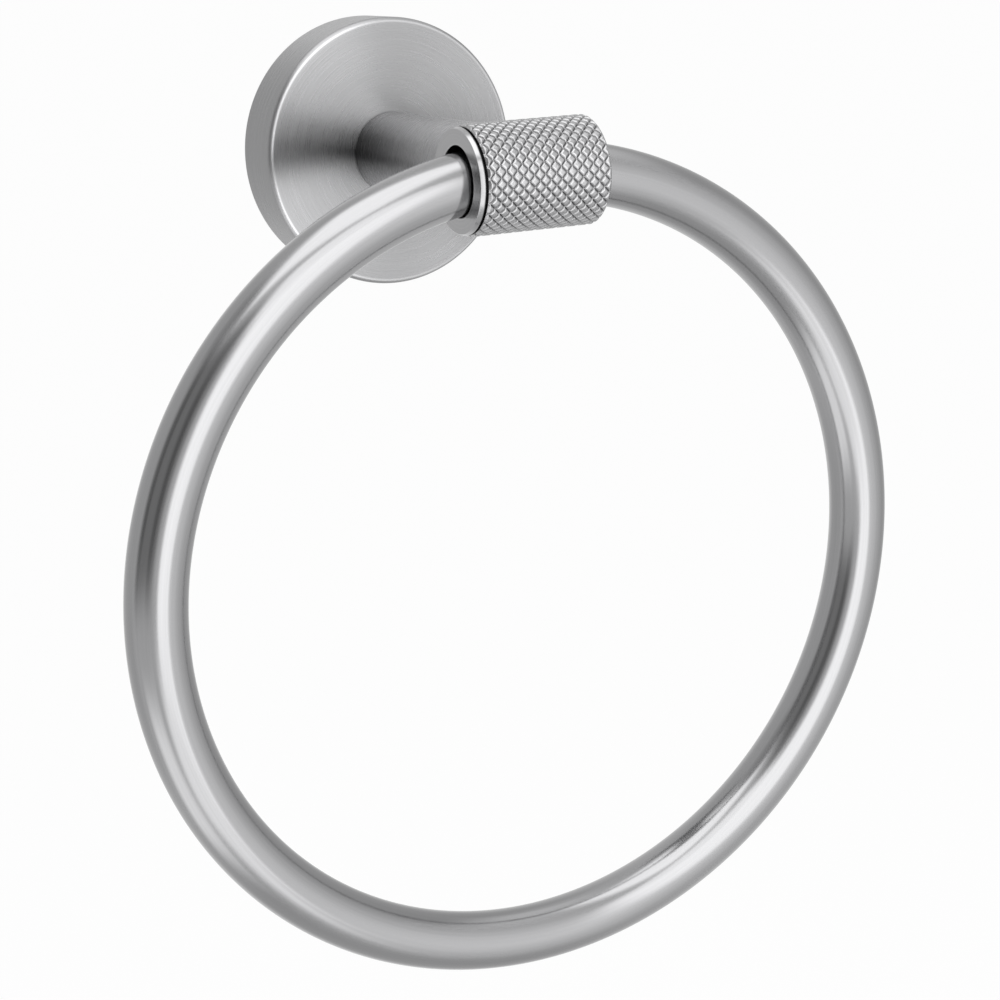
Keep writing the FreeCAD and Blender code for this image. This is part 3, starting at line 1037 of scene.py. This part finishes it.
def make_floor(stage):
    """A large pale floor under the ring. It is white to the camera, and keeps a shadow."""
    reach = 60.0
    white_share = 0.93
    level = RING_LOW.z - stage.floor_drop
    mesh = bpy.data.meshes.new("floor")
    mesh.from_pydata(
        [(-reach, -reach, level), (reach, -reach, level), (reach, reach, level),
         (-reach, reach, level)],
        [], [(0, 1, 2, 3)],
    )
    floor = bpy.data.objects.new("floor", mesh)
    bpy.context.scene.collection.objects.link(floor)
    material, tree, output = new_material("Pale matt floor")
    paint = add(tree, "ShaderNodeBsdfDiffuse", {"Color": (*stage.floor_colour, 1)})
    white = add(tree, "ShaderNodeEmission", {"Strength": 1.0})
    share = add(tree, "ShaderNodeMath", {
        0: shown_to_eye(tree), 1: white_share,
    }, operation="MULTIPLY")
    mixed = add(tree, "ShaderNodeMixShader", {
        "Fac": share.outputs["Value"], 1: paint.outputs["BSDF"], 2: white.outputs["Emission"],
    })
    tree.links.new(mixed.outputs["Shader"], output.inputs["Surface"])
    give(floor, material)


def make_world(scene):
    """An even pale surround, white where the camera, metal or glass shows it."""
    surround = 0.75
    world = bpy.data.worlds.new("Soft studio")
    world.use_nodes = True
    tree = world.node_tree
    tree.nodes.clear()
    level = add(tree, "ShaderNodeMapRange", {
        "Value": shown_to_eye(tree), "To Min": surround, "To Max": 1.0,
    })
    sky = add(tree, "ShaderNodeBackground", {
        "Color": (1, 1, 1, 1), "Strength": level.outputs["Result"],
    })
    add(tree, "ShaderNodeOutputWorld", {"Surface": sky.outputs["Background"]})
    scene.world = world


def soft_panel(name, centre, half_size, strength, softness, distance):
    """A soft light or a dark card on a sphere round the object, seen only in reflections.

    Its middle is at an azimuth and elevation, and it reaches a half size to each side, all
    in degrees. A point is the direction (sin u cos v, -cos u cos v, sin v), tilted up to
    the middle's elevation and turned to its azimuth. It fades out over the softness, a
    share of the half size, one across and one up."""
    steps = 25
    share = np.linspace(-1, 1, steps)
    u = np.radians(half_size[0]) * share[:, None]
    v = np.radians(half_size[1]) * share[None, :]
    local = np.stack([
        np.sin(u) * np.cos(v), -np.cos(u) * np.cos(v), np.sin(v) + 0 * u,
    ], axis=-1).reshape(-1, 3)
    turn = Euler((-math.radians(centre[1]), 0, math.radians(centre[0]))).to_matrix()
    points = np.array(PANEL_CENTRE) + distance * local @ np.array(turn).T
    faces = grid_faces(steps, steps, False).reshape(steps - 1, steps, 4)[:, :-1].reshape(-1, 4)
    mesh = bpy.data.meshes.new(name)
    mesh.from_pydata(points.tolist(), [], faces.tolist())
    spots = np.stack(np.meshgrid(share, share, indexing="ij"), axis=-1).reshape(-1, 2)
    uv = mesh.uv_layers.new(name="panel")
    set_array(uv.uv, "vector", spots[faces].astype(np.float32))
    panel = bpy.data.objects.new(name, mesh)
    bpy.context.scene.collection.objects.link(panel)

    material, tree, output = new_material(name)
    place = add(tree, "ShaderNodeUVMap", uv_map="panel").outputs["UV"]
    outer = add(tree, "ShaderNodeVectorMath", {0: place}, operation="ABSOLUTE")
    axes = add(tree, "ShaderNodeSeparateXYZ", {"Vector": outer.outputs["Vector"]})
    fades = [
        add(tree, "ShaderNodeMapRange", {
            "Value": axes.outputs[axis], "From Min": 1.0, "From Max": 1.0 - soft,
            "To Min": 0.0, "To Max": 1.0,
        }, interpolation_type="SMOOTHSTEP").outputs["Result"]
        for axis, soft in zip(("X", "Y"), softness)
    ]
    cover = add(tree, "ShaderNodeMath", {0: fades[0], 1: fades[1]}, operation="MULTIPLY")
    glow = add(tree, "ShaderNodeEmission", {"Strength": strength})
    clear = add(tree, "ShaderNodeBsdfTransparent")
    mixed = add(tree, "ShaderNodeMixShader", {
        "Fac": cover.outputs["Value"], 1: clear.outputs["BSDF"], 2: glow.outputs["Emission"],
    })
    tree.links.new(mixed.outputs["Shader"], output.inputs["Surface"])
    give(panel, material)
    panel.visible_camera = False
    panel.visible_shadow = False


def make_lights(stage):
    """Soft lights in front, above and low down, with grey and dark cards between them."""
    front = stage.screen_strength
    above = stage.overhead_strength
    panels = [
        # A tall soft screen in front: the pale streak all along the ring
        ("front_wide", (22, -2), (54, 62), front * 0.57, (0.95, 0.9), 1.15),
        ("front_band", (0, 4), (24, 40), front, (0.35, 0.35), 1.1),
        ("front_low", (-10, -34), (24, 20), front * 0.8, (0.5, 0.8), 1.08),
        ("front_top", (-8, 38), (26, 11), front * 0.9, (0.6, 0.4), 1.05),
        # A light overhead, one low at the left, and the thin line between two lights
        ("overhead", (-35, 78), (30, 28), above, (0.4, 0.35), 1.12),
        ("low_left", (-67, -44), (25, 23), front * 0.74, (0.6, 0.7), 1.1),
        ("gap_card", (-22, 50.5), (46, 3.5), front * 0.4, (0.5, 0.6), 1.02),
        # Dark cards at the left: the dark streak beside the pale one, with a deep core
        ("dark_card", (-68, 17), (38, 32), 0.42, (0.3, 0.4), 1.0),
        ("dark_core", (-52, 13), (9, 29), 0.2, (0.5, 0.6), 0.98),
        ("dark_edge", (-90, 18), (8, 28), 0.2, (0.6, 0.6), 0.98),
        ("dark_corner", (-103, 46), (20, 16), 0.6, (0.7, 0.7), 1.02),
        # Greys at the right, behind and below: the sides that turn away from the eye
        ("pale_right", (100, 56), (38, 22), 1.3, (0.8, 0.8), 1.14),
        ("grey_right", (115, 10), (50, 60), 0.72, (0.6, 0.6), 1.2),
        ("grey_back", (-140, 10), (45, 60), 0.84, (0.5, 0.5), 1.2),
        ("grey_below", (0, -90), (40, 40), 0.76, (0.6, 0.6), 1.14),
    ]
    for panel in panels:
        soft_panel(*panel)


class TowelRingPanel(bpy.types.Panel):
    """The pieces of the towel ring, in the order they are made"""

    bl_idname = "VIEW3D_PT_towel_ring"
    bl_label = "Towel ring"
    bl_space_type = "VIEW_3D"
    bl_region_type = "UI"
    bl_category = "Towel ring"

    def draw(self, context):
        for group in (
            context.scene.towel_ring_sizes,
            context.scene.towel_ring_finish,
            context.scene.towel_ring_stage,
        ):
            box = self.layout.box()
            for key in group.bl_rna.properties.keys():
                if key not in ("rna_type", "name"):
                    box.prop(group, key)
        for operator in OPERATORS:
            self.layout.operator(operator.bl_idname)


OPERATORS = (
    TowelRingRose,
    TowelRingPost,
    TowelRingSleeve,
    TowelRingLiner,
    TowelRingTube,
    TowelRingHidden,
    TowelRingMakeStage,
)
CLASSES = (TowelRingSizes, TowelRingFinish, TowelRingStage, *OPERATORS, TowelRingPanel)


def register():
    """Register the classes and hang the settings on the scene."""
    for item in CLASSES:
        bpy.utils.register_class(item)
    bpy.types.Scene.towel_ring_sizes = PointerProperty(type=TowelRingSizes)
    bpy.types.Scene.towel_ring_finish = PointerProperty(type=TowelRingFinish)
    bpy.types.Scene.towel_ring_stage = PointerProperty(type=TowelRingStage)


def unregister():
    """Take the settings off the scene and unregister the classes."""
    del bpy.types.Scene.towel_ring_stage
    del bpy.types.Scene.towel_ring_finish
    del bpy.types.Scene.towel_ring_sizes
    for item in reversed(CLASSES):
        bpy.utils.unregister_class(item)


def main():
    """Make every piece and the stage."""
    register()
    bpy.ops.towel_ring.rose()
    bpy.ops.towel_ring.post()
    bpy.ops.towel_ring.sleeve()
    bpy.ops.towel_ring.liner()
    bpy.ops.towel_ring.tube()
    bpy.ops.towel_ring.hidden_parts()
    bpy.ops.towel_ring.stage()


if __name__ == "__main__":
    main()
